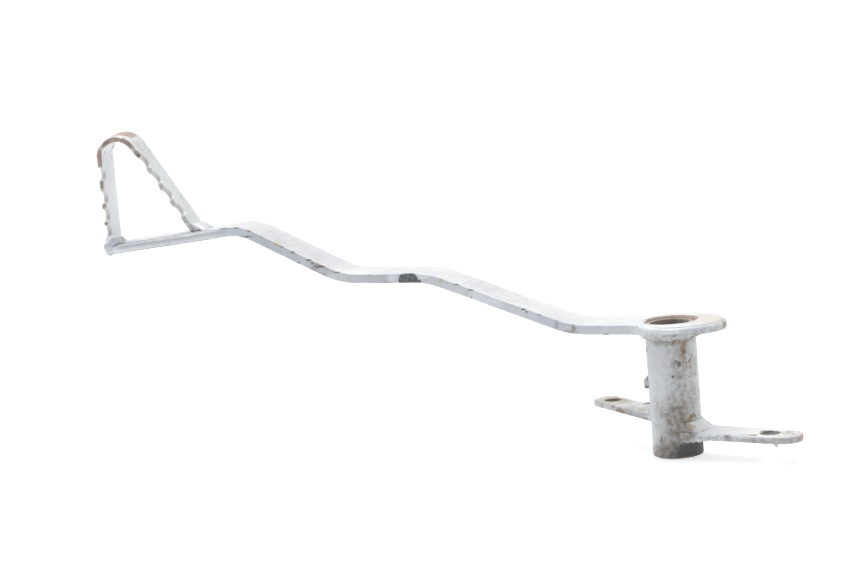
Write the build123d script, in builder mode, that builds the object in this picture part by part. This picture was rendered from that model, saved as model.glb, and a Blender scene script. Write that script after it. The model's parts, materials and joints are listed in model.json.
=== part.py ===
"""Motorcycle foot lever: a cranked flat bar with a round eye, welded to a pivot tube.

A serrated steel loop is welded on the far end of the bar as the tread for the shoe.
Two drilled arms, one for a rod and one for a spring, are welded low on the pivot tube.

Frame: millimetres. The origin is on the axis of the pivot tube, at its lower end.
+Z runs up the tube to the eye, and the bar reaches out along -X to the tread.
The shoe presses on the serrated edge of the tread, which faces -Y.
"""
from math import atan2, cos, degrees, radians, sin, tan
import os

from build123d import *

# Pivot tube
tube_radius = 13.0
bore_radius = 10.0
tube_length = 69.0
tube_rim_chamfer = 0.6

# Flat bar, cranked sideways to clear the engine case
bar_thickness = 5.0
bar_front = -12.0
bar_back = 18.0
bar_tip_x = -304.0
eye_top = 70.0
eye_center_x = 5.0
eye_radius = 24.0
eye_neck_radius = 12.0
eye_rim_chamfer = 0.9
tread_seat_slope = 0.09
bar_top_corners = [(-22.0, eye_top), (-49.0, 71.2), (-123.0, 101.5), (-170.0, 103.0), (-224.5, 132.0)]
bar_bend_radii = [60.0, 42.0, 42.0, 42.0, 26.0]

# Tread loop, bent from a strip with a serrated front edge
strip_thickness = 3.0
strip_front = -5.0
strip_back = 11.0
arch_outer_radius = 12.0
tread_height = 60.5
back_leg_lean = 32.5
foot_drop = 3.8
notch_radius = 3.5
tooth_rounding = 1.4
end_leg_notches = [7.0, 16.0, 25.9, 38.8]
back_leg_notches = [14.0, 24.8, 35.6, 46.4]

# Arms on the pivot tube: direction from +X, top face height, distance to the rounded tip
arm_thickness = 3.5
rod_arm = dict(angle=-20.5, top=14.0, tip_distance=61.0, tip_radius=9.2,
               root_half_width=10.8, hole_distance=53.0, hole_radius=5.0)
spring_arm = dict(angle=131.5, top=20.0, tip_distance=69.0, tip_radius=7.5,
                  root_half_width=8.0, hole_distance=63.0, hole_radius=4.25)

# Weld beads. Each has a height on one wall and a width on the other.
# A fullness of 0.5 gives a flat face, more than that a bulging one.
eye_bead = 3.6
eye_bead_fullness = 0.6
arm_top_bead_height = 5.0
arm_top_bead_width = 5.5
arm_bottom_bead_height = 2.2
arm_bottom_bead_width = 2.4
arm_bead_fullness = 0.42
arm_bead_inset = 0.2
end_bead = 3.0
end_bead_fullness = 0.48
end_bead_inset = 0.5
back_bead_on_bar = 3.9
back_bead_on_leg = 5.0
back_bead_fullness = 0.56
corner_lump_radius = 4.8
corner_lump_depth = 6.4
corner_lump_overhang = 0.8
corner_lump_rise = 0.6
corner_lump_rounding = 3.6

# Small stop on the tube
nub_bottom = 35.2
nub_height = 6.0
nub_width = 5.0
nub_reach = 1.9
nub_chamfer = 1.3

# Construction lengths that are cut away again, and the tolerance for picking edges by size
margin = 40.0
build_height = 220.0
tolerance = 0.01


def bar_top_at(x):
    """Height of the bar's top face on its last straight run, where the tread stands."""
    last_x, last_z = bar_top_corners[-1]
    return last_z + tread_seat_slope * (x - last_x)


def on_bar_top(point, direction):
    """Where a line in the side view meets the top face of the bar's last straight run."""
    gap = point[1] - bar_top_at(point[0])
    reach = gap / (tread_seat_slope * direction[0] - direction[1])
    return step(point, direction, reach)


def step(point, direction, distance):
    """Point at a distance from another one along a direction."""
    return (point[0] + distance * direction[0], point[1] + distance * direction[1])


def polar(radius, angle):
    """Plan point at a distance from the tube's axis, in a direction given in degrees."""
    return step((0.0, 0.0), (cos(radians(angle)), sin(radians(angle))), radius)


def bead_outline(corner, first, second, fullness):
    """Section of a weld bead: two straight walls that meet in a corner, and a curved face."""
    middle = tuple(c + fullness * (f + s - 2 * c) for c, f, s in zip(corner, first, second))
    Line(corner, first)
    ThreePointArc(first, middle, second)
    Line(second, corner)


def rims_of(piece, radius):
    """The circular edges of one radius on a piece."""
    circles = piece.edges().filter_by(GeomType.CIRCLE)
    return circles.filter_by(lambda edge: abs(edge.radius - radius) < tolerance)


def save(piece, name):
    """Label a finished piece and write it under its node name."""
    piece.part.label = name
    export_step(piece.part, f"parts/{name}.step")


os.makedirs("parts", exist_ok=True)

# ---------------------------------------------------------------- pivot tube
with BuildPart() as pivot_tube:
    Cylinder(tube_radius, tube_length, align=(Align.CENTER, Align.CENTER, Align.MIN))
    Cylinder(bore_radius, tube_length, align=(Align.CENTER, Align.CENTER, Align.MIN), mode=Mode.SUBTRACT)
    chamfer(rims_of(pivot_tube, tube_radius), tube_rim_chamfer)
save(pivot_tube, "pivot_tube")

# ----------------------------------------------------------------- lever bar
# The side profile is extruded across the bar, then trimmed to the plan outline.
eye_end = (eye_center_x + eye_radius + margin, eye_top)
beyond_tip = (bar_tip_x - margin, bar_top_at(bar_tip_x - margin))

with BuildPart() as lever_bar:
    with BuildSketch(Plane.XZ):
        with BuildLine():
            bar_path = FilletPolyline(eye_end, *bar_top_corners, beyond_tip, radius=bar_bend_radii)
            offset(bar_path, amount=bar_thickness, side=Side.LEFT, mode=Mode.ADD)
        make_face()
    extrude(amount=margin, both=True)
    with BuildSketch() as plan:
        with Locations(((bar_tip_x, (bar_front + bar_back) / 2))):
            Rectangle(-bar_tip_x, bar_back - bar_front, align=(Align.MIN, Align.CENTER))
        with Locations((eye_center_x, 0)):
            Circle(eye_radius)
        necks = [v for v in plan.vertices() if bar_tip_x + margin < v.X < 0]
        fillet(necks, eye_neck_radius)
        Circle(tube_radius, mode=Mode.SUBTRACT)
    extrude(amount=build_height, mode=Mode.INTERSECT)
    chamfer(rims_of(lever_bar, tube_radius).sort_by(Axis.Z)[-1], eye_rim_chamfer)
save(lever_bar, "lever_bar")

# ---------------------------------------------------------------- tread loop
# The strip rises square from the bar's end face, turns over and leans back to the bar.
half_strip = strip_thickness / 2
lean = radians(back_leg_lean)
end_leg_x = bar_tip_x - half_strip
end_leg_up = (0.0, 1.0)
back_leg_up = (-sin(lean), cos(lean))
arch_center_z = bar_top_at(bar_tip_x) + tread_height - arch_outer_radius
apex = (end_leg_x, arch_center_z + (arch_outer_radius - half_strip) / tan(lean / 2))
end_foot = (end_leg_x, bar_top_at(bar_tip_x))
back_foot = on_bar_top(apex, back_leg_up)
end_leg_bottom = step(end_foot, end_leg_up, -foot_drop)
back_leg_bottom = step(back_foot, back_leg_up, -strip_thickness * 2)


def leg_plane(foot, leg_up):
    """Plane in the middle of a leg, from its foot on the front edge, with X up the leg."""
    along = Vector(leg_up[0], 0, leg_up[1])
    origin = Vector(foot[0], strip_front, foot[1])
    return Plane(origin=origin, x_dir=along, z_dir=along.cross(Vector(0, -1, 0)))


with BuildPart() as tread_loop:
    with BuildSketch(Plane.XZ):
        with BuildLine():
            strip_path = FilletPolyline(
                end_leg_bottom, apex, back_leg_bottom,
                radius=arch_outer_radius - half_strip, mode=Mode.PRIVATE)
            offset(strip_path, amount=half_strip, side=Side.BOTH, mode=Mode.ADD)
        make_face()
        with BuildLine():
            beyond_x = bar_tip_x + margin * 2
            Polyline(
                (bar_tip_x, bar_top_at(bar_tip_x)),
                (beyond_x, bar_top_at(beyond_x)),
                (beyond_x, bar_top_at(bar_tip_x) - margin),
                (bar_tip_x, bar_top_at(bar_tip_x) - margin),
                close=True,
            )
        make_face(mode=Mode.SUBTRACT)
    extrude(amount=-strip_front)
    extrude(tread_loop.faces().sort_by(Axis.Y)[-1], amount=strip_back)
    for foot, leg_up, notches in (
        (end_foot, end_leg_up, end_leg_notches),
        (back_foot, back_leg_up, back_leg_notches),
    ):
        with BuildSketch(leg_plane(foot, leg_up)):
            with Locations(*[(distance, 0) for distance in notches]):
                Circle(notch_radius)
        extrude(amount=strip_thickness, both=True, mode=Mode.SUBTRACT)
    tooth_corners = tread_loop.edges().filter_by(GeomType.LINE).group_by(Axis.Y)[0]
    tooth_corners = tooth_corners.filter_by(lambda edge: abs(edge.length - strip_thickness) < tolerance)
    fillet(tooth_corners, tooth_rounding)
save(tread_loop, "tread_loop")


# ---------------------------------------------------------------------- arms
def make_arm(arm):
    """Flat arm that hugs the tube, tapers to a round tip and has one drilled hole."""
    tip = polar(arm["tip_distance"], arm["angle"])
    side_direction = arm["angle"] + 90
    flare = degrees(atan2(arm["root_half_width"] - arm["tip_radius"], arm["tip_distance"]))
    corners = []
    for sign in (1, -1):
        root = polar(arm["root_half_width"] * sign, side_direction)
        reach = polar(arm["tip_radius"] * sign, side_direction - flare * sign)
        corners.append((root, (tip[0] + reach[0], tip[1] + reach[1])))
    (left_root, left_tip), (right_root, right_tip) = corners
    with BuildPart() as plate:
        with BuildSketch(Plane.XY.offset(arm["top"] - arm_thickness)):
            with BuildLine():
                Polyline(left_root, left_tip, right_tip, right_root, close=True)
            make_face()
            with Locations(tip):
                Circle(arm["tip_radius"])
            Circle(tube_radius, mode=Mode.SUBTRACT)
            with Locations(polar(arm["hole_distance"], arm["angle"])):
                Circle(arm["hole_radius"], mode=Mode.SUBTRACT)
        extrude(amount=arm_thickness)
    return plate


def make_arm_bead(arm, level, height, width):
    """Weld bead in the corner of tube and arm, as wide as the arm; a height below 0 is underneath."""
    half_width = arm["root_half_width"] - arm_bead_inset
    left = polar(half_width, arm["angle"] + 90)
    right = polar(half_width, arm["angle"] - 90)
    outward = polar(1.0, arm["angle"])
    with BuildPart() as bead:
        with BuildSketch(Plane.XZ):
            with BuildLine():
                bead_outline(
                    (tube_radius, level), (tube_radius + width, level), (tube_radius, level + height),
                    arm_bead_fullness)
            make_face()
        revolve(axis=Axis.Z)
        with BuildSketch(Plane.XY.offset(min(level, level + height))):
            with BuildLine():
                Polyline(left, step(left, outward, margin), step(right, outward, margin), right, close=True)
            make_face()
        extrude(amount=abs(height), mode=Mode.INTERSECT)
    return bead


for arm_name, arm in (("rod_arm", rod_arm), ("spring_arm", spring_arm)):
    upper_bead = make_arm_bead(arm, arm["top"], arm_top_bead_height, arm_top_bead_width)
    lower_bead = make_arm_bead(
        arm, arm["top"] - arm_thickness, -arm_bottom_bead_height, arm_bottom_bead_width)
    save(make_arm(arm), arm_name)
    save(upper_bead, f"{arm_name}_upper_weld")
    save(lower_bead, f"{arm_name}_lower_weld")

# ----------------------------------------------------------------- stop nub
with BuildPart() as stop_nub:
    with BuildSketch(Plane.XY.offset(nub_bottom)):
        with Locations((-tube_radius - nub_reach, 0)):
            Rectangle(nub_reach + tube_radius / 2, nub_width, align=(Align.MIN, Align.CENTER))
        Circle(tube_radius, mode=Mode.SUBTRACT)
    extrude(amount=nub_height)
    outer_edges = stop_nub.edges().group_by(Axis.X)[0].sort_by(Axis.Z)
    chamfer(outer_edges[-1], nub_chamfer)
save(stop_nub, "stop_nub")

# ---------------------------------------------------------------- eye weld
eye_bottom = eye_top - bar_thickness
with BuildPart() as eye_weld:
    with BuildSketch(Plane.XZ):
        with BuildLine():
            bead_outline(
                (tube_radius, eye_bottom), (tube_radius + eye_bead, eye_bottom),
                (tube_radius, eye_bottom - eye_bead), eye_bead_fullness)
        make_face()
    revolve(axis=Axis.Z)
save(eye_weld, "eye_weld")

# ------------------------------------------------------------- tread welds
# One bead runs behind the back leg, one in the corner inside the end leg.
leg_outward = (cos(lean), sin(lean))
heel = on_bar_top(step(back_foot, leg_outward, half_strip), back_leg_up)
heel_bead_x = heel[0] + back_bead_on_bar
with BuildPart() as tread_back_weld:
    with BuildSketch(Plane.XZ.offset(-strip_back)):
        with BuildLine():
            bead_outline(
                heel, (heel_bead_x, bar_top_at(heel_bead_x)),
                step(heel, back_leg_up, back_bead_on_leg), back_bead_fullness)
        make_face()
    extrude(amount=strip_back - strip_front)
save(tread_back_weld, "tread_back_weld")

inner_corner = (bar_tip_x, bar_top_at(bar_tip_x))
with BuildPart() as tread_end_weld:
    with BuildSketch(Plane.XZ.offset(end_bead_inset - strip_back)):
        with BuildLine():
            bead_outline(
                inner_corner, (bar_tip_x + end_bead, bar_top_at(bar_tip_x + end_bead)),
                step(inner_corner, end_leg_up, end_bead), end_bead_fullness)
        make_face()
    extrude(amount=strip_back - strip_front - 2 * end_bead_inset)
save(tread_end_weld, "tread_end_weld")

# A lump of weld covers the bar's front corner, in front of the end leg.
lump_x = bar_tip_x + corner_lump_radius - corner_lump_overhang
lump_z = bar_top_at(bar_tip_x) + corner_lump_rise
with BuildPart() as tread_corner_weld:
    with BuildSketch(Plane.XZ.offset(-strip_front)):
        with Locations((lump_x, lump_z)):
            Circle(corner_lump_radius)
    extrude(amount=corner_lump_depth)
    fillet(tread_corner_weld.faces().sort_by(Axis.Y)[0].edges(), corner_lump_rounding)
    add(lever_bar.part, mode=Mode.SUBTRACT)
save(tread_corner_weld, "tread_corner_weld")
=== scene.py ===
import json
import math
from types import SimpleNamespace

import bmesh
import bpy
import numpy as np
from mathutils import Matrix, Vector, kdtree, noise


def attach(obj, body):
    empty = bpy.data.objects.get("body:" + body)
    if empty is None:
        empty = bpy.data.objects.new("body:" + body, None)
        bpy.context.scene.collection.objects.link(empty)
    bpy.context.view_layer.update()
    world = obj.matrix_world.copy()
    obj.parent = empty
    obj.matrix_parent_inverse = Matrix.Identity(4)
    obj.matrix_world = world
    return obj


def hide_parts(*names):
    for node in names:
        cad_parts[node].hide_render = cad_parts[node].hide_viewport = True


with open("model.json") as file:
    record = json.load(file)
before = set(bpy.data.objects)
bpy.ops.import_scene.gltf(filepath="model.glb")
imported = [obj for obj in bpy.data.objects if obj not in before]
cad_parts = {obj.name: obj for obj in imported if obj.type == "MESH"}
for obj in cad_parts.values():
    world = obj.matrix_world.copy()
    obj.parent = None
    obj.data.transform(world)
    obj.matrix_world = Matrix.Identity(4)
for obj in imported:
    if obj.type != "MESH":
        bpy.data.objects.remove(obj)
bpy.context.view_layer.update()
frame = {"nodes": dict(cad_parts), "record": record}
MM = 0.001
WHITE = (1.0, 1.0, 1.0)
scene = bpy.context.scene
mounts = {mount["name"]: mount for mount in frame["record"]["mounts"]}
slot_of = {part["node"]: part["material_slot"] for part in frame["record"]["subparts"]}


# ------------------------------------------------------------------ camera
CAMERA_PLACE = Vector((171.2, -1002.0, 228.4)) * MM
CAMERA_FORWARD = Vector((-0.28162, 0.95087, -0.12857)).normalized()
CAMERA_UP = Vector((0.04435, 0.14675, 0.98818))
LENS_MM = 83.72
SENSOR_WIDTH_MM = 36.0
NEAREST_M = 0.05
FARTHEST_M = 50.0


def add_camera():
    """The camera of the photo, from the place, the direction and the lens fitted to its outline."""
    right = CAMERA_FORWARD.cross(CAMERA_UP).normalized()
    up = right.cross(CAMERA_FORWARD)
    turn = Matrix((right, up, -CAMERA_FORWARD)).transposed()
    camera = bpy.data.objects.new("camera", bpy.data.cameras.new("camera"))
    scene.collection.objects.link(camera)
    camera.matrix_world = Matrix.Translation(CAMERA_PLACE) @ turn.to_4x4()
    camera.data.sensor_width = SENSOR_WIDTH_MM
    camera.data.lens = LENS_MM
    camera.data.clip_start = NEAREST_M
    camera.data.clip_end = FARTHEST_M
    scene.camera = camera


# ---------------------------------------------------------- wear and painted light, by position
# A mark is an ellipsoid, given in millimetres of the part's frame: its centre
# (x, y, z), its half sizes (x, y, z) and a strength. Each kind of wear becomes one value per
# vertex, and the paint breaks up the borders with noise.
# Some kinds are not wear but paint light and shade into the colour:
#   rust    brown rust            dark    chips down to dark steel, and painted shadows in gaps and under roots
#   steel   a large bare patch    yellow  old ochre primer
#   bare            paint rubbed thin, and a painted warm tint on the tread's forward faces
#   light  painted highlights, painted brightening of faces, and cleaner paint
#   soil             brown grime, and painted shade under the eye and on sides away from the light
#   haze             paint greyed darker, and painted shade on the bar's front faces
TREAD_LOOP_MARKS = {
    "rust": [
        # the crown of the arch
        (-290.5, 3.5, 184.6, 8.0, 5.0, 3.0, 0.92), (-297.0, 0.0, 184.0, 4.0, 3.0, 2.0, 0.66),
        # the arch's front edge, from the upright leg to the first notch of the sloping one
        (-306.0, -5.0, 173.5, 3.0, 1.1, 8.5, 0.82), (-298.5, -5.0, 181.0, 7.0, 1.1, 4.0, 0.90),
        (-288.0, -5.0, 179.5, 6.0, 1.1, 4.5, 0.85), (-282.2, -5.0, 173.5, 2.6, 1.2, 2.6, 0.90),
        # the upper teeth of the upright leg
        (-305.8, -5.0, 158.5, 1.6, 1.0, 3.4, 0.72), (-305.5, -5.0, 148.0, 1.6, 1.0, 2.8, 0.66),
        (-305.3, -5.0, 137.0, 1.5, 1.0, 2.4, 0.60),
    ],
    "dark": [
        # inside and on the edge of the arch
        (-302.9, 10.3, 177.7, 1.0, 1.6, 2.3, 1.10), (-303.8, -1.3, 175.6, 0.8, 0.7, 1.8, 0.62),
        (-293.0, -5.6, 183.0, 4.0, 0.6, 0.9, 0.80), (-282.0, -5.2, 172.6, 1.2, 0.8, 0.9, 0.78),
        # below the teeth of the upright leg
        (-305.8, -5.4, 156.8, 1.2, 0.8, 0.8, 0.66), (-305.4, -5.4, 146.0, 1.2, 0.8, 0.8, 0.66),
        (-305.2, -5.4, 136.0, 1.2, 0.8, 0.8, 0.60),
        # the foot of the sloping leg, with a painted shadow line where it meets the bar
        (-259.3, -5.0, 134.4, 0.9, 0.9, 0.9, 1.00), (-256.0, -5.0, 129.6, 2.2, 1.0, 0.7, 0.85),
    ],
    "light": [
        # painted glints between the teeth of the upright leg, and that leg's outer face brightened as
        # painted light
        (-306.0, -1.5, 150.6, 1.4, 0.8, 0.9, 0.8), (-305.9, -1.5, 141.0, 1.4, 0.8, 0.9, 0.8),
        (-305.8, -1.6, 131.4, 1.4, 0.8, 0.9, 0.7), (-303.0, 0.0, 150.0, 2.5, 16.0, 44.0, 0.9),
    ],
    "soil": [
        # the arch, the sloping leg's face, and both toothed edges
        (-282.0, 3.0, 176.0, 12.0, 9.0, 12.0, 0.30), (-265.0, 8.0, 150.0, 9.0, 4.0, 16.0, 0.22),
        (-268.0, -5.0, 149.0, 14.0, 1.0, 24.0, 0.30), (-306.0, -5.0, 150.0, 2.0, 2.0, 22.0, 0.40),
    ],
}
LEVER_BAR_MARKS = {
    "dark": [
        # under the tread
        (-290.5, -11.8, 126.0, 3.4, 0.6, 0.5, 0.78), (-284.6, -11.6, 126.6, 1.2, 0.7, 0.5, 0.80),
        # the bend after the tread: both edges of its front face
        (-235.0, -11.4, 131.0, 5.5, 0.8, 0.5, 0.80), (-225.5, -12.0, 131.0, 4.0, 0.7, 0.5, 0.80),
        (-219.2, -12.0, 128.9, 1.5, 0.7, 0.5, 0.80), (-222.0, -12.0, 125.8, 4.0, 1.0, 0.5, 0.88),
        # the upper slope, down to the level stretch
        (-201.2, -12.0, 119.4, 2.0, 0.8, 0.5, 0.75), (-195.5, -12.0, 116.3, 2.4, 0.8, 0.7, 0.75),
        (-187.3, -12.0, 111.6, 1.6, 0.8, 0.6, 0.90), (-185.8, -12.0, 109.8, 0.9, 0.8, 0.8, 0.80),
        (-181.0, -12.0, 107.9, 3.2, 0.9, 0.8, 0.90), (-172.4, -12.0, 104.4, 2.0, 0.8, 0.5, 0.80),
        (-193.0, -12.0, 110.4, 0.8, 0.8, 0.5, 0.80),
        # the level stretch and the lower slope
        (-145.5, -12.0, 97.4, 4.5, 1.0, 0.4, 0.90), (-107.0, -11.8, 94.9, 2.4, 0.8, 0.5, 0.90),
        (-99.5, -12.0, 91.8, 2.8, 0.8, 0.45, 0.92), (-100.4, -12.0, 88.0, 0.7, 0.8, 0.5, 0.75),
        (-73.0, -12.0, 80.6, 1.8, 0.9, 0.6, 0.92), (-71.6, -12.0, 79.0, 0.7, 0.8, 0.7, 0.90),
        (-65.2, -12.0, 77.2, 1.0, 0.8, 0.5, 0.80),
        # the last stretch and the rim of the eye
        (-50.0, -12.0, 66.8, 2.4, 0.9, 0.4, 0.72), (-30.9, -12.0, 65.8, 2.6, 0.9, 0.4, 0.76),
        (23.8, -15.2, 69.6, 0.8, 0.8, 0.8, 0.60), (27.2, -9.6, 68.6, 1.0, 1.0, 0.8, 0.66),
        (0.3, -22.6, 69.8, 0.8, 0.7, 0.6, 0.60),
    ],
    "steel": [
        # the large chip on the front face of the level stretch
        (-133.6, -12.0, 99.6, 4.6, 2.5, 2.7, 1.15), (-129.4, -12.0, 97.6, 3.0, 1.6, 1.1, 1.00),
        (-137.2, -12.0, 98.3, 1.8, 1.6, 1.4, 1.00), (-130.6, -12.0, 98.9, 2.4, 1.6, 1.9, 1.00),
    ],
    "yellow": [
        (-295.5, -11.5, 126.0, 2.2, 1.0, 0.8, 0.80), (-275.9, -12.0, 126.6, 1.3, 1.0, 0.8, 0.85),
        (-262.8, -12.0, 128.1, 2.0, 1.2, 0.8, 0.90), (-227.6, 11.2, 131.4, 3.4, 2.6, 1.5, 0.70),
        (-219.4, -11.6, 129.0, 2.4, 1.2, 1.8, 0.70), (-204.7, -10.8, 121.2, 2.4, 3.0, 1.4, 0.90),
        (-115.9, -12.0, 97.3, 1.3, 1.3, 1.5, 0.95),
    ],
    "bare": [
        # the right side of the eye's top
        (19.0, -5.0, 70.0, 11.0, 11.0, 1.8, 1.00), (20.0, 4.0, 70.0, 9.0, 9.0, 1.8, 0.90),
        # the bend after the tread, the lower slope, and the front edge under the tread
        (-232.0, 0.0, 131.5, 9.0, 9.0, 2.0, 0.45), (-75.0, 2.0, 83.0, 12.0, 9.0, 6.0, 0.40),
        (-270.0, -10.5, 127.5, 26.0, 1.5, 1.2, 0.50),
    ],
    "light": [
        # painted highlights on the eye's front rim and on the lower slope's front, and cleaner paint around
        # the large chip
        (3.5, -24.0, 68.0, 7.0, 1.8, 1.5, 0.85), (-93.0, -12.5, 86.5, 16.0, 2.0, 6.0, 0.62),
        (-125.6, -12.0, 100.4, 5.0, 1.5, 1.8, 0.80), (-142.0, -12.0, 100.0, 4.0, 1.5, 3.0, 0.60),
        # a painted highlight on the bar's end, and its top under the tread brightened as painted light
        (-298.0, -12.0, 123.0, 2.5, 1.0, 2.5, 0.60), (-275.0, 3.0, 128.0, 34.0, 18.0, 2.4, 0.85),
    ],
    "soil": [
        # both slopes
        (-198.0, 4.0, 119.0, 36.0, 18.0, 18.0, 0.12), (-90.0, 4.0, 90.0, 30.0, 18.0, 12.0, 0.18),
        (-182.0, -12.0, 106.5, 10.0, 1.5, 4.5, 0.35),
        # the front face at the last bend
        (-56.3, -12.0, 71.3, 1.3, 2.0, 2.8, 0.62), (-47.6, -12.0, 69.8, 1.1, 2.0, 2.4, 0.60),
        (-51.0, -12.0, 67.4, 5.0, 2.0, 1.5, 0.50),
        # the lower front and the right side of the eye
        (8.0, -22.0, 65.2, 20.0, 8.0, 1.5, 0.50), (29.0, -2.0, 66.6, 3.0, 11.0, 3.2, 0.62),
        (22.0, -17.0, 66.0, 9.0, 9.0, 3.0, 0.42),
        # the back face
        (-60.0, 18.0, 74.0, 30.0, 2.5, 9.0, 0.40), (-190.0, 18.0, 112.0, 40.0, 2.5, 14.0, 0.40),
    ],
    "haze": [
        # the upper slope greyed darker, and painted shade on the front faces of the level stretch and of the
        # tread's seat
        (-198.0, 2.0, 121.0, 34.0, 18.0, 18.0, 0.44), (-147.0, -13.0, 99.0, 22.0, 3.0, 7.0, 0.34),
        (-262.0, -13.0, 127.0, 36.0, 3.0, 7.0, 0.42),
    ],
}
PIVOT_TUBE_MARKS = {
    "rust": [
        # under the eye
        (7.8, -10.4, 56.2, 1.6, 1.6, 3.8, 0.92), (8.6, -9.8, 50.6, 1.2, 1.4, 2.4, 0.62),
        (10.4, -7.8, 49.6, 1.2, 1.5, 2.4, 0.60), (-11.5, -6.1, 56.6, 0.9, 1.3, 2.0, 0.70),
        # above the rod arm, and the lower end
        (8.6, -9.7, 19.6, 1.8, 1.8, 2.8, 0.95), (10.0, -8.3, 21.6, 2.6, 2.6, 1.2, 0.95),
        (6.0, -11.6, 0.3, 7.0, 3.0, 0.7, 0.85), (-10.5, -7.6, 2.0, 2.2, 2.2, 2.2, 0.62),
    ],
    "dark": [
        # the first mark is a painted shadow under the eye
        (4.0, -12.4, 62.0, 7.0, 2.0, 0.8, 0.68), (7.9, -10.3, 55.2, 0.8, 0.9, 1.4, 0.80),
        (11.3, -6.4, 52.5, 0.7, 0.9, 0.9, 0.75), (3.7, -12.5, 50.8, 1.0, 0.9, 0.7, 0.70),
        (5.3, -11.9, 49.2, 1.5, 0.9, 2.0, 0.85), (2.0, -12.8, 42.7, 0.9, 0.9, 0.9, 0.80),
        (12.0, -5.0, 42.4, 0.7, 0.9, 0.8, 0.70), (-6.1, -11.5, 10.6, 1.0, 1.1, 2.2, 0.66),
    ],
    "soil": [
        # soil under the eye and down the right side of the front, with a painted shadow of the eye at the
        # top and painted shade on the right, away from the light
        (5.0, -12.0, 61.5, 13.0, 8.0, 3.5, 0.78), (5.0, -12.0, 48.0, 4.5, 4.0, 12.0, 0.62),
        (8.0, -10.0, 36.0, 10.0, 9.0, 40.0, 0.48), (3.0, -12.0, 19.0, 11.0, 7.0, 16.0, 0.74),
        # the foot, nearly black on the right: soil, with painted shade on the side away from the light
        (2.0, -12.0, 1.0, 18.0, 10.0, 7.5, 1.05), (10.0, -7.0, 2.0, 17.0, 16.0, 9.5, 1.75),
        (-6.0, -11.4, 9.0, 4.0, 4.0, 4.0, 0.60),
        # the back
        (0.0, 13.0, 30.0, 9.0, 6.0, 40.0, 0.55), (0.0, 12.0, 2.0, 16.0, 9.0, 7.0, 0.95),
    ],
    "yellow": [(8.4, -9.9, 20.5, 2.6, 2.6, 3.6, 0.62)],
    # greyed darker low on the front
    "haze": [(-6.0, -11.0, 18.0, 9.0, 6.0, 22.0, 0.12)],
}
ROD_ARM_MARKS = {
    "rust": [
        # beside the hole, and the tip
        (41.5, -22.9, 14.0, 2.2, 1.6, 0.8, 0.95), (38.0, -21.6, 14.0, 3.4, 0.7, 0.5, 0.70),
        (66.0, -25.0, 12.0, 2.0, 4.0, 2.0, 0.45),
    ],
    "dark": [
        # the root, and around the hole
        (9.8, -14.6, 12.4, 3.6, 1.2, 0.7, 0.80), (43.0, -23.4, 14.0, 1.2, 1.0, 0.7, 0.95),
        (47.5, -14.2, 13.8, 4.0, 1.6, 0.9, 0.92), (58.7, -20.2, 14.0, 1.8, 1.2, 0.5, 0.62),
    ],
    "light": [
        # painted highlights along the front edge, and the top brightened as painted light
        (19.0, -17.8, 13.4, 7.0, 1.6, 0.9, 0.90), (36.5, -24.0, 13.2, 4.0, 1.5, 0.9, 0.80),
        (55.0, -28.0, 12.6, 1.5, 1.5, 1.5, 0.70), (38.0, -15.0, 14.2, 34.0, 16.0, 1.2, 1.00),
    ],
    "soil": [
        # the root, the front edge and the tip; along the front side the darkening is painted shade
        (9.0, -14.0, 12.0, 6.0, 4.0, 3.0, 0.80), (29.0, -21.4, 12.4, 2.4, 2.0, 2.0, 0.66),
        (50.0, -26.0, 11.4, 20.0, 5.0, 1.6, 0.60), (60.0, -22.0, 12.2, 12.0, 12.0, 2.6, 0.62),
    ],
}
SPRING_ARM_MARKS = {
    "rust": [(-34.0, 27.5, 17.4, 4.6, 4.6, 2.0, 1.25), (-39.0, 32.5, 19.0, 2.2, 2.2, 1.0, 0.75)],
    "dark": [
        # the first mark is a painted shadow under the arm's root
        (-17.4, 7.8, 17.0, 3.0, 2.4, 0.7, 0.90), (-20.5, 15.0, 20.0, 2.0, 1.4, 0.5, 0.62),
        (-20.2, 35.0, 20.2, 3.0, 3.0, 0.9, 0.85),
    ],
    # a painted highlight on the arm's root
    "light": [(-14.6, 5.2, 19.2, 2.0, 2.2, 1.4, 0.90)],
    "soil": [
        # soil on the plate and its tip, and painted shade on its front side
        (-24.0, 18.0, 18.0, 22.0, 22.0, 6.0, 0.34), (-41.7, 47.2, 20.0, 14.0, 14.0, 4.0, 0.66),
        (-44.0, 46.0, 17.5, 12.0, 12.0, 4.0, 0.50), (-30.0, 20.0, 17.0, 14.0, 12.0, 2.4, 0.42),
    ],
    # the plate greyed darker all over
    "haze": [(-32.0, 24.0, 17.5, 30.0, 26.0, 5.0, 0.80), (-28.0, 20.0, 16.8, 22.0, 20.0, 2.2, 1.30)],
}
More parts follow.
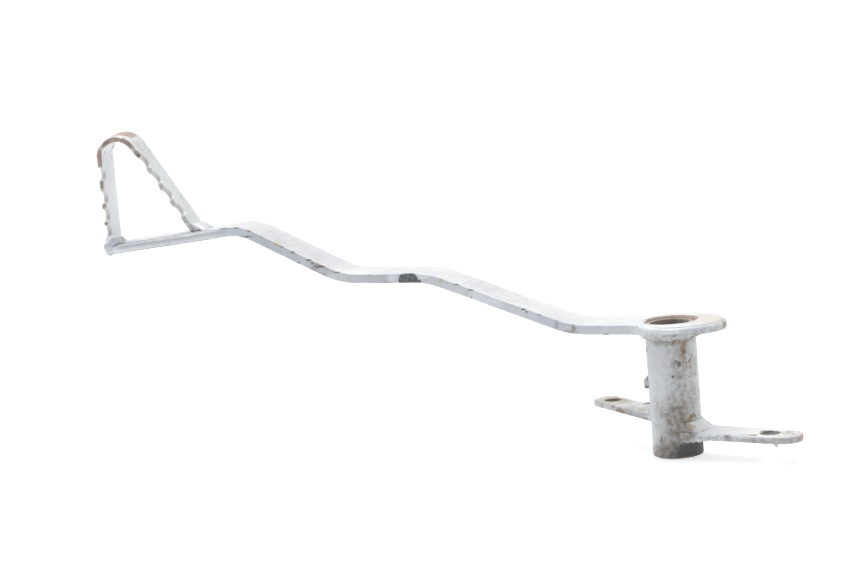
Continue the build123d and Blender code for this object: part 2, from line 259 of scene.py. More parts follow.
WELD_MARKS = {
    "rod_arm_upper_weld": {
        "rust": [(8.6, -13.4, 15.6, 1.2, 1.4, 1.4, 0.62)],
        "yellow": [(9.4, -12.0, 17.4, 3.0, 1.8, 2.4, 0.75)],
        "bare": [(14.0, -9.0, 16.0, 8.0, 8.0, 6.0, 0.50)],
        # the weld brightened as painted light
        "light": [(16.0, -8.0, 17.0, 9.0, 9.0, 7.0, 0.95)],
        "soil": [(6.5, -13.5, 16.5, 5.0, 4.0, 5.0, 0.75)],
    },
    "rod_arm_lower_weld": {"soil": [(9.0, -11.0, 9.5, 9.0, 12.0, 4.0, 0.90)]},
    "eye_weld": {
        "dark": [(12.3, -8.5, 62.2, 1.6, 1.6, 1.0, 0.66)],
        # the front of the bead: a painted shadow of the eye above it, with soil
        "soil": [(3.0, -13.0, 62.0, 18.0, 8.0, 3.5, 0.50), (13.5, -6.0, 62.5, 4.0, 7.0, 2.0, 0.66)],
    },
    "tread_back_weld": {
        # a painted shadow line under the sloping leg's foot, and a painted highlight on the bead
        "dark": [(-251.5, -5.4, 129.6, 3.0, 0.8, 0.7, 0.90)],
        "light": [(-252.3, -2.5, 132.4, 4.5, 5.0, 3.5, 0.60)],
    },
    "tread_corner_weld": {
        # a painted shadow in the gap behind the lump
        "dark": [(-295.6, -5.5, 128.6, 1.3, 1.3, 1.6, 0.95)],
        "yellow": [(-296.0, -10.0, 126.2, 1.3, 1.5, 0.9, 0.70)],
    },
    "tread_end_weld": {"dark": [(-302.0, -1.0, 126.6, 2.4, 6.0, 1.0, 0.62)]},
}
MARKS = {
    "tread_loop": TREAD_LOOP_MARKS,
    "lever_bar": LEVER_BAR_MARKS,
    "pivot_tube": PIVOT_TUBE_MARKS,
    "rod_arm": ROD_ARM_MARKS,
    "spring_arm": SPRING_ARM_MARKS,
    "stop_nub": {"soil": [(-14.5, 0.0, 35.6, 3.0, 4.0, 1.6, 0.95)]},
    **WELD_MARKS,
}
KINDS = ("rust", "dark", "steel", "yellow", "bare", "light", "soil", "haze")
MARK_FADES_AT = 1.5  # in half sizes from the centre; a mark is at full strength up to 0.5


def mark_values(points, marks):
    """Strength of a list of marks at each point, half the strength on a mark's border."""
    value = np.zeros(len(points))
    for x, y, z, half_x, half_y, half_z, strength in marks:
        distance = np.sqrt((((points - (x, y, z)) / (half_x, half_y, half_z)) ** 2).sum(1))
        value = np.maximum(value, strength * np.clip(MARK_FADES_AT - distance, 0.0, 1.0))
    return value


# The rust ring in the pivot's mouth lies a little off the axis, toward the back.
MOUTH_X, MOUTH_Y = 0.8, 2.4
MOUTH_RADIUS = 14.3
MOUTH_HEIGHT = 68.2
MOUTH_FADE = 0.6
MOUTH_RUST = 0.95
BORE_RUST_DEPTH = 0.9
BORE_FADE = 0.4

# The wall of a drilled hole is darkened a little way into the steel, so that the whole wall is covered.
HOLE_DARKENING_DEPTH = 0.7
HOLE_FADE = 0.6
SPRING_HOLE_DARKENING = 1.1
ROD_HOLE_DARKENING = 0.66

# Paint on the tread's front edge is rubbed thin, and given a painted warm tint against the blue light from
# the front, where the surface faces forward enough.
FRONT_FACING = 0.35
FRONT_FACING_FADE = 0.3
FRONT_RUB_AND_TINT = 0.85


def rusted_mouth(points):
    """Rust in the mouth of the pivot bore: the tube's end, its seam with the eye, and the bore."""
    from_axis = np.hypot(points[:, 0], points[:, 1])
    from_centre = np.hypot(points[:, 0] - MOUTH_X, points[:, 1] - MOUTH_Y)
    inside = np.clip(MOUTH_RADIUS - from_centre, 0.0, 1.0)
    end = inside * np.clip((points[:, 2] - MOUTH_HEIGHT) / MOUTH_FADE, 0.0, 1.0)
    bore_radius = mounts["pivot_bore"]["dims"]["r_mm"]
    wall = np.clip((bore_radius + BORE_RUST_DEPTH - from_axis) / BORE_FADE, 0.0, 1.0)
    return MOUTH_RUST * np.maximum(end, wall)


def darkened_hole_wall(points, mount):
    """Darkening on the wall of a drilled hole, whose place and radius the record gives."""
    x, y = (axis / MM for axis in mount["pos_m"][:2])
    from_axis = np.hypot(points[:, 0] - x, points[:, 1] - y)
    return np.clip((mount["dims"]["r_mm"] + HOLE_DARKENING_DEPTH - from_axis) / HOLE_FADE, 0.0, 1.0)


def rubbed_and_tinted_front(normals):
    """Thin paint, with a painted warm tint against the blue light from the front, where a surface faces the
    front (-Y).
    """
    return FRONT_RUB_AND_TINT * np.clip((-normals[:, 1] - FRONT_FACING) / FRONT_FACING_FADE, 0.0, 1.0)


def kind_by_rule(node, points, normals):
    """Wear, darkened hole walls and a painted warm tint that follow a rule and not a mark: one kind and its
    values, or None.
    """
    if node in ("lever_bar", "pivot_tube"):
        return "rust", rusted_mouth(points)
    if node == "tread_loop":
        return "bare", rubbed_and_tinted_front(normals)
    if node == "spring_arm":
        return "dark", SPRING_HOLE_DARKENING * darkened_hole_wall(points, mounts["spring_hole"])
    if node == "rod_arm":
        return "soil", ROD_HOLE_DARKENING * darkened_hole_wall(points, mounts["rod_hole"])
    return None


MERGE_DISTANCE = 0.002 * MM
SHARP_ANGLE = math.radians(32)
EDGE_SPACING = 0.6 * MM
EDGE_WIDTH = 0.9 * MM


def sharp_edge_points(mesh):
    """Points along the sharp edges of a CAD mesh."""
    form = bmesh.new()
    form.from_mesh(mesh)
    bmesh.ops.remove_doubles(form, verts=form.verts, dist=MERGE_DISTANCE)
    points = []
    for edge in form.edges:
        if len(edge.link_faces) == 2 and edge.calc_face_angle(0.0) > SHARP_ANGLE:
            start, end = (vert.co for vert in edge.verts)
            steps = max(1, math.ceil((end - start).length / EDGE_SPACING))
            points += [start.lerp(end, i / steps) for i in range(steps + 1)]
    form.free()
    return points


def nearness_to_edges(mesh, cad_mesh):
    """1 at each vertex on a sharp edge of the CAD, falling off smoothly over the edge width."""
    edges = sharp_edge_points(cad_mesh)
    tree = kdtree.KDTree(len(edges))
    for i, point in enumerate(edges):
        tree.insert(point, i)
    tree.balance()
    return np.array([math.exp(-((tree.find(vert.co)[2] / EDGE_WIDTH) ** 2)) for vert in mesh.vertices])


def vertex_vectors(mesh, name):
    """One vector property of the vertices, as an array of rows."""
    values = np.empty(len(mesh.vertices) * 3, np.float32)
    mesh.vertices.foreach_get(name, values)
    return values.reshape(-1, 3).astype(float)


BACK_STARTS = 6.0
BACK_FADE = 6.0
BACK_EDGE_WEAR = 0.26


def set_kind_values(mesh, node):
    """Writes the values of a piece's marks, wear and painted light and shade, as vertex attributes, one per
    kind and one for the edges.
    """
    points = vertex_vectors(mesh, "co") / MM
    marks = MARKS.get(node, {})
    values = {kind: mark_values(points, marks.get(kind, [])) for kind in KINDS}
    ruled = kind_by_rule(node, points, vertex_vectors(mesh, "normal"))
    if ruled:
        kind, value = ruled
        values[kind] = np.maximum(values[kind], value)
    nearness = nearness_to_edges(mesh, frame["nodes"][node].data)
    at_back = np.clip((points[:, 1] - BACK_STARTS) / BACK_FADE, 0.0, 1.0)
    values["dark"] = np.maximum(values["dark"], BACK_EDGE_WEAR * nearness * at_back)
    values["edge"] = nearness
    for kind, value in values.items():
        layer = mesh.attributes.new(kind, "FLOAT", "POINT")
        layer.data.foreach_set("value", value.astype(np.float32))


# -------------------------------------------------------------- soft shapes
def bump_noise(point, size, seed):
    """Smooth noise from -1 to 1 with features of one size in millimetres."""
    return noise.noise(point / (size * MM) + Vector((seed * 17.3, seed * 5.1, seed * 9.7)))


def ramp(value, low, high):
    """0 below low, 1 above high, and a smooth step between them."""
    t = min(1.0, max(0.0, (value - low) / (high - low)))
    return t * t * (3 - 2 * t)


def raw_copy(node, lumps, swell):
    """A copy of a CAD node's mesh, swollen a little and with round lumps (x, y, z, radius) on it."""
    form = bmesh.new()
    form.from_mesh(frame["nodes"][node].data)
    bmesh.ops.remove_doubles(form, verts=form.verts, dist=MERGE_DISTANCE)
    if swell:
        form.normal_update()
        for vert in form.verts:
            vert.co += vert.normal * swell * MM
    for x, y, z, radius in lumps:
        place = Matrix.Translation(Vector((x, y, z)) * MM)
        bmesh.ops.create_icosphere(form, subdivisions=3, radius=radius * MM, matrix=place)
    mesh = bpy.data.meshes.new(node + "_shape")
    form.to_mesh(mesh)
    form.free()
    return mesh


def soften(node, voxel, passes, lumps=(), swell=0.0, *, shape, seed):
    """A copy of a CAD node with worn edges: remeshed, smoothed, and shaped by a function.

    The voxel size and the swell are in millimetres, and passes counts the smoothing passes.
    """
    raw = raw_copy(node, lumps, swell)
    piece = bpy.data.objects.new("worn_" + node, raw)
    scene.collection.objects.link(piece)
    remesh = piece.modifiers.new("remesh", "REMESH")
    remesh.mode = "VOXEL"
    remesh.voxel_size = voxel * MM
    smooth = piece.modifiers.new("smooth", "SMOOTH")
    smooth.factor = 0.5
    smooth.iterations = passes
    bpy.context.view_layer.update()
    mesh = bpy.data.meshes.new_from_object(piece.evaluated_get(bpy.context.evaluated_depsgraph_get()))
    piece.modifiers.clear()
    piece.data = mesh
    bpy.data.meshes.remove(raw)
    normals = [vert.normal.copy() for vert in mesh.vertices]
    for vert, normal in zip(mesh.vertices, normals):
        vert.co = shape(vert.co.copy(), normal, seed)
    for polygon in mesh.polygons:
        polygon.use_smooth = True
    set_kind_values(mesh, node)
    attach(piece, "root")
    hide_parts(node)
    return piece


def worn_plate(point, normal, seed):
    """Slow waves and small dents of hammered, painted steel."""
    wave = 0.05 * bump_noise(point, 22, seed) + 0.035 * bump_noise(point, 6, seed + 1)
    return point + normal * (wave + 0.015 * bump_noise(point, 1.6, seed + 2)) * MM


# The rim of the eye's top is bevelled from the front, over the right side, to the back. The
# bevel grows and fades over a pair of turns about the eye's centre, of radii and of heights.
EYE_X = 5.0
EYE_STARTS_X = -14.0
BEVEL_TURN_IN, BEVEL_TURN_OUT = (-165.0, -105.0), (45.0, 85.0)
BEVEL_RADII = 21.6, 24.0
BEVEL_IN, BEVEL_IN_HEIGHTS = 1.1, (67.2, 70.0)
BEVEL_DOWN, BEVEL_DOWN_HEIGHTS = 0.9, (68.8, 70.0)

# The bar's front face is rounded under the tread: its upper and lower edges are set back.
# SEAT_END_MIDDLE is the height of the face's middle at the seat's end, and FRONT_FACE gives
# how far forward a point has to lie to take part, a little and in full.
SEAT_END_X = -228.0
SEAT_FADE_LENGTH = 18.0
SEAT_END_MIDDLE = 129.2
SEAT_SLOPE = 0.09
SEAT_HALF_HEIGHT = 2.5
SEAT_SET_BACK = 1.7
FRONT_FACE = 10.5, 11.5

# The arch of the tread strip sags, toward its front edge and toward its top.
ARCH_SAG = 1.9
ARCH_DEPTHS = -5.0, 9.0
ARCH_HEIGHTS = 168.0, 184.0

TUBE_BURR = 0.35
TUBE_BURR_HEIGHT = 3.0


def bevelled_eye(x, y, z):
    """A point of the bar, with the rim of the eye's top hammered in and down."""
    outward = Vector((x - EYE_X, y))
    if x <= EYE_STARTS_X or outward.length <= BEVEL_RADII[0]:
        return x, y, z
    turned = math.degrees(math.atan2(y, x - EYE_X))
    share = ramp(turned, *BEVEL_TURN_IN) * (1.0 - ramp(turned, *BEVEL_TURN_OUT))
    share *= ramp(outward.length, *BEVEL_RADII)
    inward = -outward.normalized() * BEVEL_IN * share * ramp(z, *BEVEL_IN_HEIGHTS)
    return x + inward.x, y + inward.y, z - BEVEL_DOWN * share * ramp(z, *BEVEL_DOWN_HEIGHTS)


def rounded_seat(x, y, z):
    """A point of the bar, with its front face rounded under the tread."""
    if x >= SEAT_END_X or -y <= FRONT_FACE[0]:
        return x, y, z
    middle = SEAT_END_MIDDLE + SEAT_SLOPE * (x - SEAT_END_X)
    from_middle = min(1.0, abs(z - middle) / SEAT_HALF_HEIGHT)
    share = (1.0 - ramp(x, SEAT_END_X - SEAT_FADE_LENGTH, SEAT_END_X)) * ramp(-y, *FRONT_FACE)
    return x, y + SEAT_SET_BACK * from_middle ** 2 * share, z


def worn_bar(point, normal, seed):
    """The bar, with a soft bevel on the eye's rim and a round front under the tread."""
    x, y, z = worn_plate(point, normal, seed) / MM
    return Vector(rounded_seat(*bevelled_eye(x, y, z))) * MM


def worn_loop(point, normal, seed):
    """The tread strip, whose arch sags a little along its front edge."""
    x, y, z = worn_plate(point, normal, seed) / MM
    sag = ARCH_SAG * (1.0 - ramp(y, *ARCH_DEPTHS)) * ramp(z, *ARCH_HEIGHTS)
    return Vector((x, y, z - sag)) * MM


def worn_tube(point, normal, seed):
    """The tube, a little uneven, with a burred and dented foot."""
    x, y, z = worn_plate(point, normal, seed) / MM
    foot = 1.0 - ramp(z, 0.0, TUBE_BURR_HEIGHT)
    dent = 0.5 + 0.5 * bump_noise(Vector((x, y, 0.0)) * MM, 7, 5)
    return Vector((x, y, z + TUBE_BURR * foot * dent)) * MM


BEAD_RADIUS = 14.0


def bead_ripple(point, normal, seed):
    """Uneven weld metal round the tube: ripples across the run, with blobs between them."""
    x, y, z = point / MM
    along = math.atan2(y, x) * BEAD_RADIUS
    ripple = 0.12 * math.sin(along * 2.6 + 2.0 * bump_noise(point, 5, seed))
    blobs = 0.50 * bump_noise(point, 3.4, seed + 1) + 0.22 * bump_noise(point, 1.5, seed + 2)
    return point + normal * (ripple + blobs) * MM


def lump_ripple(point, normal, seed):
    """A short run or lump of weld metal."""
    blobs = 0.40 * bump_noise(point, 3.0, seed + 1) + 0.18 * bump_noise(point, 1.3, seed + 2)
    return point + normal * blobs * MM


# Lumps of weld and paint: centre and radius.
ROD_ARM_DRIP = [(53.2, -27.6, 10.6, 1.2), (53.5, -27.5, 9.6, 0.85), (53.8, -27.4, 8.8, 0.6)]
ROD_ARM_NOSE = [
    (7.6, -14.0, 11.6, 2.7), (10.4, -15.0, 11.5, 2.5), (13.6, -16.2, 11.6, 2.2),
    (17.2, -17.5, 11.8, 1.9), (21.2, -19.0, 12.0, 1.7),
]
SPRING_ARM_BURR = [(-19.0, 33.6, 19.6, 0.9), (-20.2, 35.0, 19.8, 1.0), (-21.6, 36.4, 19.7, 0.8)]
CORNER_LUMP = [(-302.4, -9.6, 124.0, 3.2), (-302.8, -9.0, 121.6, 2.2), (-302.2, -9.4, 120.2, 1.2)]


WELD_SWELL = 0.25
WELDS = (  # node, voxel size, smoothing passes and surface
    ("eye_weld", 0.35, 6, bead_ripple),
    ("rod_arm_upper_weld", 0.35, 24, lump_ripple),
    ("rod_arm_lower_weld", 0.3, 8, bead_ripple),
    ("spring_arm_upper_weld", 0.35, 8, bead_ripple),
    ("spring_arm_lower_weld", 0.3, 8, bead_ripple),
    ("tread_back_weld", 0.35, 3, lump_ripple),
    ("tread_end_weld", 0.3, 3, lump_ripple),
)


def build_pieces():
    """Every visible piece, one for each CAD node. Each has its own seed."""
    pieces = [
        soften("lever_bar", voxel=0.5, passes=4, shape=worn_bar, seed=1),
        soften("tread_loop", voxel=0.42, passes=20, shape=worn_loop, seed=2),
        soften("pivot_tube", voxel=0.5, passes=3, shape=worn_tube, seed=3),
        soften("rod_arm", voxel=0.42, passes=4, lumps=ROD_ARM_DRIP + ROD_ARM_NOSE, shape=worn_plate, seed=4),
        soften("spring_arm", voxel=0.42, passes=4, lumps=SPRING_ARM_BURR, shape=worn_plate, seed=5),
        soften("stop_nub", voxel=0.3, passes=5, swell=0.15, shape=lump_ripple, seed=6),
    ]
    for seed, (node, voxel, passes, shape) in enumerate(WELDS, start=7):
        pieces.append(soften(node, voxel, passes, swell=WELD_SWELL, shape=shape, seed=seed))
    pieces.append(soften("tread_corner_weld", voxel=0.35, passes=3, lumps=CORNER_LUMP, swell=0.2,
                         shape=lump_ripple, seed=14))
    return pieces


# --------------------------------------------------------------- materials
class Nodes:
    """Short names for the shader nodes that a material is built from."""

    def __init__(self, name):
        self.material = bpy.data.materials.new(name)
        self.material.use_nodes = True
        self.tree = self.material.node_tree
        self.shader = self.tree.nodes["Principled BSDF"]
        self.place = self.tree.nodes.new("ShaderNodeTexCoord").outputs["Object"]

    def link(self, value, socket):
        """Feeds a socket from another one, or sets it to a constant."""
        if isinstance(value, bpy.types.NodeSocket):
            self.tree.links.new(value, socket)
        else:
            socket.default_value = value

    def noise(self, size, detail=2.0, rough=0.5, stretch=(1.0, 1.0, 1.0), shift=0.0):
        """Noise from 0 to 1 whose features are about one size in millimetres."""
        mapping = self.tree.nodes.new("ShaderNodeMapping")
        self.tree.links.new(self.place, mapping.inputs["Vector"])
        mapping.inputs["Scale"].default_value = stretch
        mapping.inputs["Location"].default_value = (shift, shift * 1.7, shift * 0.6)
        node = self.tree.nodes.new("ShaderNodeTexNoise")
        self.tree.links.new(mapping.outputs["Vector"], node.inputs["Vector"])
        node.inputs["Scale"].default_value = 1.0 / (size * MM)
        node.inputs["Detail"].default_value = detail
        node.inputs["Roughness"].default_value = rough
        return node.outputs["Fac"]

    def kind_value(self, kind):
        """A value of one kind of mark on the piece; the kinds hold wear and painted light and shade."""
        node = self.tree.nodes.new("ShaderNodeAttribute")
        node.attribute_name = kind
        return node.outputs["Fac"]

    def math(self, operation, *values):
        """A sum, a product or another operation on numbers."""
        node = self.tree.nodes.new("ShaderNodeMath")
        node.operation = operation
        for value, socket in zip(values, node.inputs):
            self.link(value, socket)
        return node.outputs[0]

    def product(self, first, second):
        """Product of two values."""
        return self.math("MULTIPLY", first, second)

    def blend(self, share, first, second):
        """Mix of two values."""
        node = self.tree.nodes.new("ShaderNodeMix")
        for value, socket in zip((share, first, second), (node.inputs[0], node.inputs[2], node.inputs[3])):
            self.link(value, socket)
        return node.outputs[0]

    def step(self, value, low, high, bottom=0.0, top=1.0):
        """Smooth step of a value between two limits."""
        node = self.tree.nodes.new("ShaderNodeMapRange")
        node.interpolation_type = "SMOOTHSTEP"
        self.link(value, node.inputs["Value"])
        node.inputs["From Min"].default_value = low
        node.inputs["From Max"].default_value = high
        node.inputs["To Min"].default_value = bottom
        node.inputs["To Max"].default_value = top
        return node.outputs["Result"]

    def mix(self, share, first, second):
        """Colour mix; colours are linear."""
        node = self.tree.nodes.new("ShaderNodeMix")
        node.data_type = "RGBA"
        self.link(share, node.inputs[0])
        for colour, socket in ((first, node.inputs[6]), (second, node.inputs[7])):
            self.link(colour if isinstance(colour, bpy.types.NodeSocket) else (*colour, 1.0), socket)
        return node.outputs[2]

    def broken(self, kind, texture, amount, low, high):
        """A value of one kind of mark, with an irregular border."""
        spread = self.product(self.math("SUBTRACT", texture, 0.5), amount * 2.0)
        present = self.step(self.kind_value(kind), 0.02, 0.15)
        value = self.math("ADD", self.kind_value(kind), self.product(spread, present))
        return self.step(value, low, high)


# Linear colours of the paint, from clean to worn.
BRIGHT_SILVER = (0.665, 0.675, 0.685)
DULL_SILVER = (0.58, 0.59, 0.615)
BEIGE_STAIN = (0.64, 0.63, 0.60)
BRUSHED_GREY = (0.50, 0.51, 0.54)
SPOT_GREY = (0.48, 0.485, 0.495)
GLINT = (0.84, 0.85, 0.87)
DARKENING_GREY = (0.38, 0.395, 0.415)
HIGHLIGHT_AND_CLEAN_SILVER = (0.86, 0.865, 0.875)
RUBBED_AND_TINT = (0.54, 0.48, 0.42), (0.64, 0.60, 0.55)
SOIL_AND_SHADE = (0.34, 0.285, 0.22), (0.165, 0.138, 0.11)
BLACK_SOIL_AND_SHADE = (0.070, 0.064, 0.056)
PRIMER = (0.46, 0.38, 0.22), (0.62, 0.55, 0.38)
DARK_RUST = (0.20, 0.125, 0.09)
PALE_RUST = (0.46, 0.31, 0.22)
OCHRE_RUST = (0.34, 0.25, 0.16)
RUST_DUST = (0.55, 0.46, 0.39)
EDGE_RUST = (0.16, 0.10, 0.075)
CHIP_AND_SHADOW = (0.085, 0.075, 0.068), (0.24, 0.19, 0.15)
STEEL = (0.06, 0.065, 0.065), (0.17, 0.175, 0.175)


def paint_textures(n):
    """The noises that the layers of a paint share, from broad to fine."""
    return SimpleNamespace(
        broad=n.noise(28, 3.0),
        patch=n.noise(7, 3.0, 0.6, shift=3.1),
        spots=n.noise(2.6, 3.0, 0.6, shift=5.5),
        fine=n.noise(1.1, 3.0, 0.65, shift=1.3),
        grain=n.noise(0.35, 2.0, 0.6, shift=0.7),
        brushed=n.noise(2.2, 2.0, 0.5, stretch=(0.25, 1.0, 1.0), shift=2.2),
    )


def base_coat(n, t, tint, stain):
    """Aged silver paint without wear."""
    bright, dull, beige = (
        tuple(channel * share for channel, share in zip(colour, tint))
        for colour in (BRIGHT_SILVER, DULL_SILVER, BEIGE_STAIN)
    )
    colour = n.mix(n.step(t.broad, 0.35, 0.65), bright, dull)
    colour = n.mix(n.step(t.patch, 0.50, 0.75, 0.0, stain), colour, beige)
    colour = n.mix(n.step(t.brushed, 0.45, 0.75, 0.0, 0.14), colour, BRUSHED_GREY)
    colour = n.mix(n.step(t.spots, 0.46, 0.70, 0.0, 0.32), colour, SPOT_GREY)
    return n.mix(n.step(t.grain, 0.55, 0.80, 0.0, 0.18), colour, GLINT)


def marked_coat(n, t, colour):
    """The paint greyed darker, with painted shade on front faces, with painted highlights and cleaner
    places, and rubbed thin, with a painted warm tint on the tread's forward faces.
    """
    haze = n.product(n.kind_value("haze"), n.step(t.patch, 0.25, 0.75, 0.65, 0.95))
    colour = n.mix(haze, colour, DARKENING_GREY)
    light = n.broken("light", t.patch, 0.35, 0.25, 0.75)
    colour = n.mix(n.product(light, 0.55), colour, HIGHLIGHT_AND_CLEAN_SILVER)
    bare = n.broken("bare", t.fine, 0.5, 0.25, 0.70)
    return n.mix(n.product(bare, 0.6), colour, n.mix(t.patch, *RUBBED_AND_TINT))


def add_soil_and_shade(n, t, colour):
    """Brown grime and painted shade, nearly black and even where it is strongest. Gives the colour and the
    mask.
    """
    texture = n.math("MULTIPLY_ADD", t.patch, 0.5, n.product(t.spots, 0.5))
    soil = n.broken("soil", texture, 0.65, 0.05, 0.95)
    soil_and_shade_colour = n.mix(n.step(t.fine, 0.3, 0.7), *SOIL_AND_SHADE)
    soil_and_shade_colour = n.mix(n.step(n.kind_value("soil"), 0.70, 1.55), soil_and_shade_colour, BLACK_SOIL_AND_SHADE)
    even = n.step(n.kind_value("soil"), 0.75, 1.65, 0.0, 0.95)
    cover = n.math("MAXIMUM", n.step(t.spots, 0.3, 0.7, 0.70, 1.0), even)
    return n.mix(n.product(soil, cover), colour, soil_and_shade_colour), soil


def add_rust(n, t, colour, pale_rust):
    """Ochre primer, then rust. Gives the colour and the rust's mask."""
    yellow = n.broken("yellow", t.fine, 0.4, 0.35, 0.65)
    colour = n.mix(n.product(yellow, 0.7), colour, n.mix(t.fine, *PRIMER))
    rust = n.broken("rust", t.spots, 0.8, 0.30, 0.65)
    rust_colour = n.mix(n.step(t.spots, 0.35, 0.62), DARK_RUST, pale_rust)
    rust_colour = n.mix(n.step(t.grain, 0.45, 0.75, 0.0, 0.5), rust_colour, RUST_DUST)
    rust_colour = n.mix(n.product(n.kind_value("edge"), 0.36), rust_colour, EDGE_RUST)
    return n.mix(n.product(rust, n.step(t.fine, 0.3, 0.7, 0.90, 0.62)), colour, rust_colour), rust


def add_chips_and_shadows(n, t, colour, chip_level):
    """Chips and painted shadows on marks, chips on sharp edges and as rare specks. Gives the colour and the
    mask.
    """
    texture = n.math("MULTIPLY_ADD", t.patch, 0.5, n.product(t.fine, 0.5))
    on_edges = n.product(n.kind_value("edge"), n.step(texture, chip_level - 0.12, chip_level - 0.06))
    specks = n.step(t.fine, chip_level + 0.04, chip_level + 0.08, 0.0, 0.45)
    unmarked = n.math("MAXIMUM", n.step(on_edges, 0.45, 0.8, 0.0, 0.6), specks)
    chips_and_shadows = n.math("MAXIMUM", n.broken("dark", t.fine, 0.9, 0.40, 0.62), unmarked)
    return n.mix(n.product(chips_and_shadows, 0.85), colour, n.mix(n.step(t.grain, 0.3, 0.7), *CHIP_AND_SHADOW)), chips_and_shadows


def add_steel(n, t, colour):
    """Large chips down to dark steel. Gives the colour and the mask."""
    steel = n.broken("steel", t.fine, 0.55, 0.42, 0.56)
    return n.mix(n.product(steel, 0.95), colour, n.mix(n.step(t.fine, 0.35, 0.65), *STEEL)), steel


BUMP_STRENGTH = 0.5
BUMP_DEPTH = 0.12 * MM


def add_bump(n, t, rust, chips_and_shadows, steel):
    """The relief: texture of the paint, sunken chips and rough rust."""
    height = n.product(t.fine, 0.5)
    layers = (
        (t.grain, 0.20), (t.brushed, 0.2), (chips_and_shadows, -0.7), (steel, -0.9),
        (n.product(rust, t.grain), 1.2), (t.spots, 1.4),
    )
    for texture, amount in layers:
        height = n.math("MULTIPLY_ADD", texture, amount, height)
    bump = n.tree.nodes.new("ShaderNodeBump")
    bump.inputs["Strength"].default_value = BUMP_STRENGTH
    bump.inputs["Distance"].default_value = BUMP_DEPTH
    n.link(height, bump.inputs["Height"])
    n.link(bump.outputs["Normal"], n.shader.inputs["Normal"])


def silver_paint(name, tint=WHITE, chip_level=0.70, stain=0.5, rough=0.42, pale_rust=PALE_RUST):
    """Old silver paint on steel, with stains, chips, soil and rust, and painted highlights, shade and
    shadows, where the values of the marks say so.
    """
    n = Nodes(name)
    t = paint_textures(n)
    colour = marked_coat(n, t, base_coat(n, t, tint, stain))
    colour, soil = add_soil_and_shade(n, t, colour)
    colour, rust = add_rust(n, t, colour, pale_rust)
    colour, chips_and_shadows = add_chips_and_shadows(n, t, colour, chip_level)
    colour, steel = add_steel(n, t, colour)
    n.link(colour, n.shader.inputs["Base Color"])
    roughness = n.step(t.patch, 0.3, 0.7, rough - 0.06, rough + 0.10)
    for mask, level in ((soil, 0.68), (rust, 0.85), (chips_and_shadows, 0.66), (steel, 0.52)):
        roughness = n.blend(mask, roughness, level)
    n.link(roughness, n.shader.inputs["Roughness"])
    n.shader.inputs["Metallic"].default_value = 0.15
    add_bump(n, t, rust, chips_and_shadows, steel)
    return n.material


def paint_pieces(pieces):
    """Gives each piece the paint of its node's material slot."""
    paints = {
        "bar_paint": silver_paint("bar_paint"),
        "tube_paint": silver_paint("tube_paint", (0.95, 0.945, 0.93), stain=0.8, rough=0.46,
                                   pale_rust=OCHRE_RUST),
        "tread_paint": silver_paint("tread_paint", (0.95, 0.955, 0.935), chip_level=0.74, stain=0.4),
        "arm_paint": silver_paint("arm_paint", (0.99, 0.98, 0.96), chip_level=0.72, stain=0.7, rough=0.40),
        # the welds' paint is a little darker: painted shade for the bead in the shadow of the eye, which the
        # other welds share
        "weld_paint": silver_paint("weld_paint", (0.91, 0.915, 0.92), chip_level=0.74, rough=0.36),
    }
    for piece in pieces:
        slot = slot_of[piece.name.removeprefix("worn_")]
        piece.data.materials.clear()
        piece.data.materials.append(paints[slot])


# ---------------------------------------------------------- floor and light
FLOOR_REACH_M = 30.0
FLOOR_GLOW = 0.62


def add_floor():
    """A plain floor whose own glow lifts it to the photo's white, but keeps a faint shadow."""
    n = Nodes("pale_floor")
    n.link(n.mix(n.noise(60, 3.0), (0.42, 0.42, 0.42), (0.46, 0.46, 0.46)), n.shader.inputs["Base Color"])
    n.link(n.step(n.noise(9), 0.3, 0.7, 0.75, 0.85), n.shader.inputs["Roughness"])
    n.shader.inputs["Emission Color"].default_value = (*WHITE, 1.0)
    n.shader.inputs["Emission Strength"].default_value = FLOOR_GLOW
    corners = [(x * FLOOR_REACH_M, y * FLOOR_REACH_M, 0) for x, y in ((-1, -1), (1, -1), (1, 1), (-1, 1))]
    mesh = bpy.data.meshes.new("floor")
    mesh.from_pydata(corners, [], [(0, 1, 2, 3)])
    mesh.materials.append(n.material)
    floor = bpy.data.objects.new("floor", mesh)
    scene.collection.objects.link(floor)


# Light of the studio by height, 0 at the horizon and 1 overhead: white low down, so that the
# far floor runs into it, grey above that, and bright at the top.
STUDIO_BY_HEIGHT = (
    (0.0, WHITE), (0.06, WHITE), (0.12, (0.75, 0.76, 0.78)), (0.45, (0.80, 0.81, 0.82)),
    (0.75, (1.15, 1.14, 1.10)), (1.0, (1.2, 1.185, 1.13)),
)
STUDIO_FRONT = (0.24, 0.31, 0.42)
FRONT_STARTS, FRONT_FULL = 0.25, -0.85
STUDIO_STRENGTH = 1.05


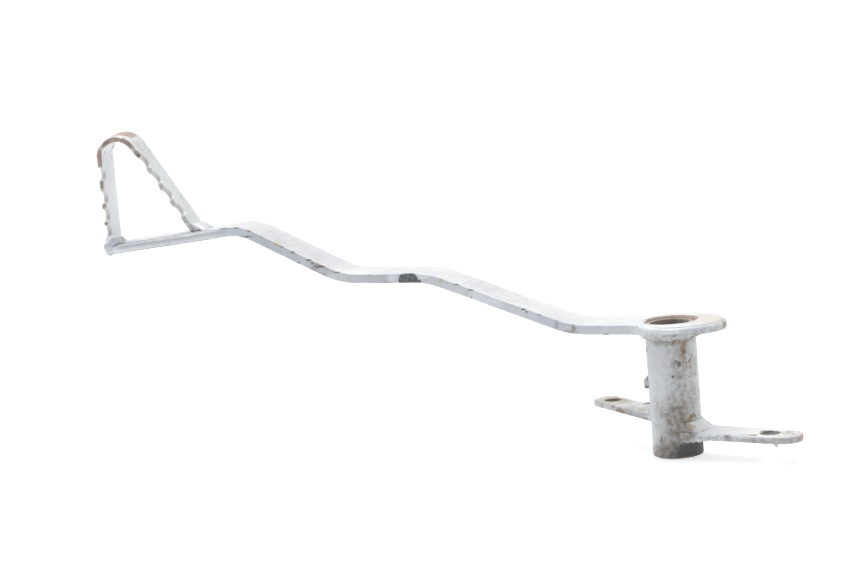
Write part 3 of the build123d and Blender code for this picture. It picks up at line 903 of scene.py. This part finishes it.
def add_studio():
    """Surrounding light, dim and blue from the front (-Y), so that front faces look darker."""
    world = bpy.data.worlds.new("studio")
    scene.world = world
    world.use_nodes = True
    tree = world.node_tree
    direction = tree.nodes.new("ShaderNodeTexCoord").outputs["Generated"]
    split = tree.nodes.new("ShaderNodeSeparateXYZ")
    tree.links.new(direction, split.inputs[0])
    by_height = tree.nodes.new("ShaderNodeValToRGB")
    tree.links.new(split.outputs["Z"], by_height.inputs[0])
    stops = by_height.color_ramp.elements
    stops.remove(stops[1])
    stops[0].color = (*STUDIO_BY_HEIGHT[0][1], 1.0)
    for height, colour in STUDIO_BY_HEIGHT[1:]:
        stops.new(height).color = (*colour, 1.0)
    towards_front = tree.nodes.new("ShaderNodeMapRange")
    towards_front.interpolation_type = "SMOOTHSTEP"
    tree.links.new(split.outputs["Y"], towards_front.inputs["Value"])
    towards_front.inputs["From Min"].default_value = FRONT_STARTS
    towards_front.inputs["From Max"].default_value = FRONT_FULL
    dimmed = tree.nodes.new("ShaderNodeMix")
    dimmed.data_type = "RGBA"
    tree.links.new(towards_front.outputs["Result"], dimmed.inputs[0])
    tree.links.new(by_height.outputs["Color"], dimmed.inputs[6])
    dimmed.inputs[7].default_value = (*STUDIO_FRONT, 1.0)
    background = tree.nodes["Background"]
    tree.links.new(dimmed.outputs[2], background.inputs["Color"])
    background.inputs["Strength"].default_value = STUDIO_STRENGTH


def soft_light(name, place, target, size, power, colour=WHITE):
    """Square softbox at a place in metres, aimed at a target; its power is in watts."""
    lamp = bpy.data.lights.new(name, "AREA")
    lamp.color = colour
    lamp.shape = "SQUARE"
    lamp.size = size
    lamp.energy = power
    holder = bpy.data.objects.new(name, lamp)
    scene.collection.objects.link(holder)
    turn = (Vector(place) - Vector(target)).to_track_quat("Z", "Y").to_matrix().to_4x4()
    holder.matrix_world = Matrix.Translation(Vector(place)) @ turn


add_camera()
paint_pieces(build_pieces())
add_floor()
add_studio()
soft_light("overhead", (-0.2, 0.4, 1.9), (-0.12, 0.0, 0.08), size=1.8, power=26.0, colour=(1.0, 0.975, 0.93))
soft_light("left_fill", (-1.6, 0.0, 0.9), (-0.05, 0.0, 0.05), size=1.0, power=7.0)
soft_light("right_fill", (1.6, 0.5, 0.9), (-0.15, 0.0, 0.10), size=1.0, power=2.5)
scene.view_settings.view_transform = "Standard"
scene.view_settings.look = "None"
